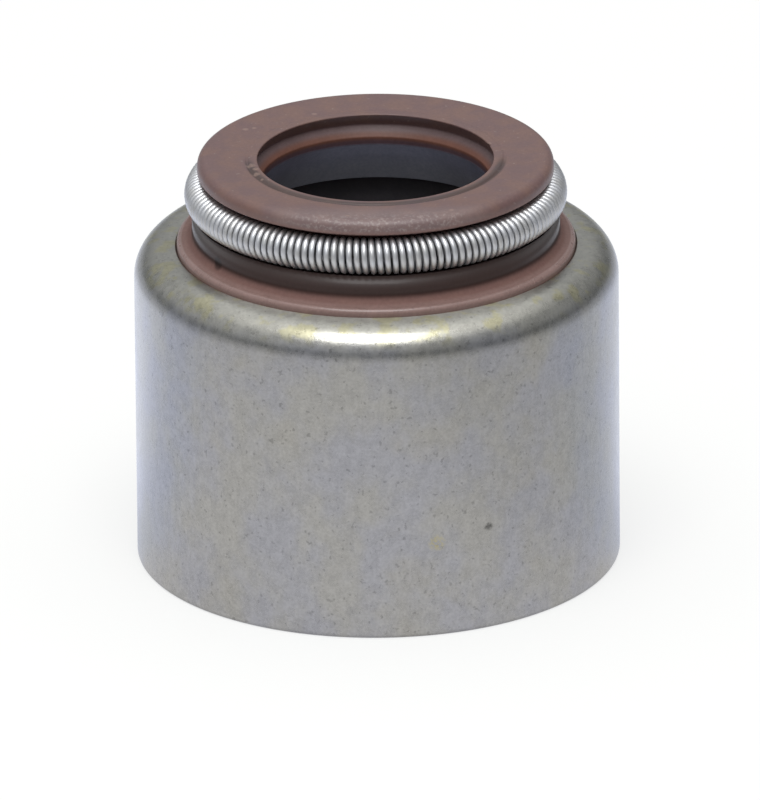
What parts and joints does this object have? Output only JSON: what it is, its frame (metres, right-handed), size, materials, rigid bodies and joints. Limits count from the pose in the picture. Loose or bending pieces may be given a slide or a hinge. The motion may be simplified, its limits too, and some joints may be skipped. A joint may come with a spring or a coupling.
{
  "type": "valve stem seal",
  "caption": "Rubber seal moulded in a drawn steel cup: a flat head with a round stem hole, a coiled spring round its lip, and an open underside that grips a valve guide.",
  "frame": {"origin": "centre of the case's lower rim, on the plane that the rim stands on", "axes": "+Z along the valve stem's axis, from the guide towards the sealing head; X and Y are free"},
  "size_m": [0.0154, 0.0154, 0.0135],
  "materials": {
    "case_steel": "drawn bare steel, fine satin grain with a faint yellow passivation tint",
    "seal_rubber": "matt brown moulded rubber",
    "spring_wire": "bright drawn spring wire"
  },
  "bodies": {
    "root": {"steel_case": "case_steel", "rubber_seal": "seal_rubber", "garter_spring": "spring_wire"}
  },
  "joints": []
}
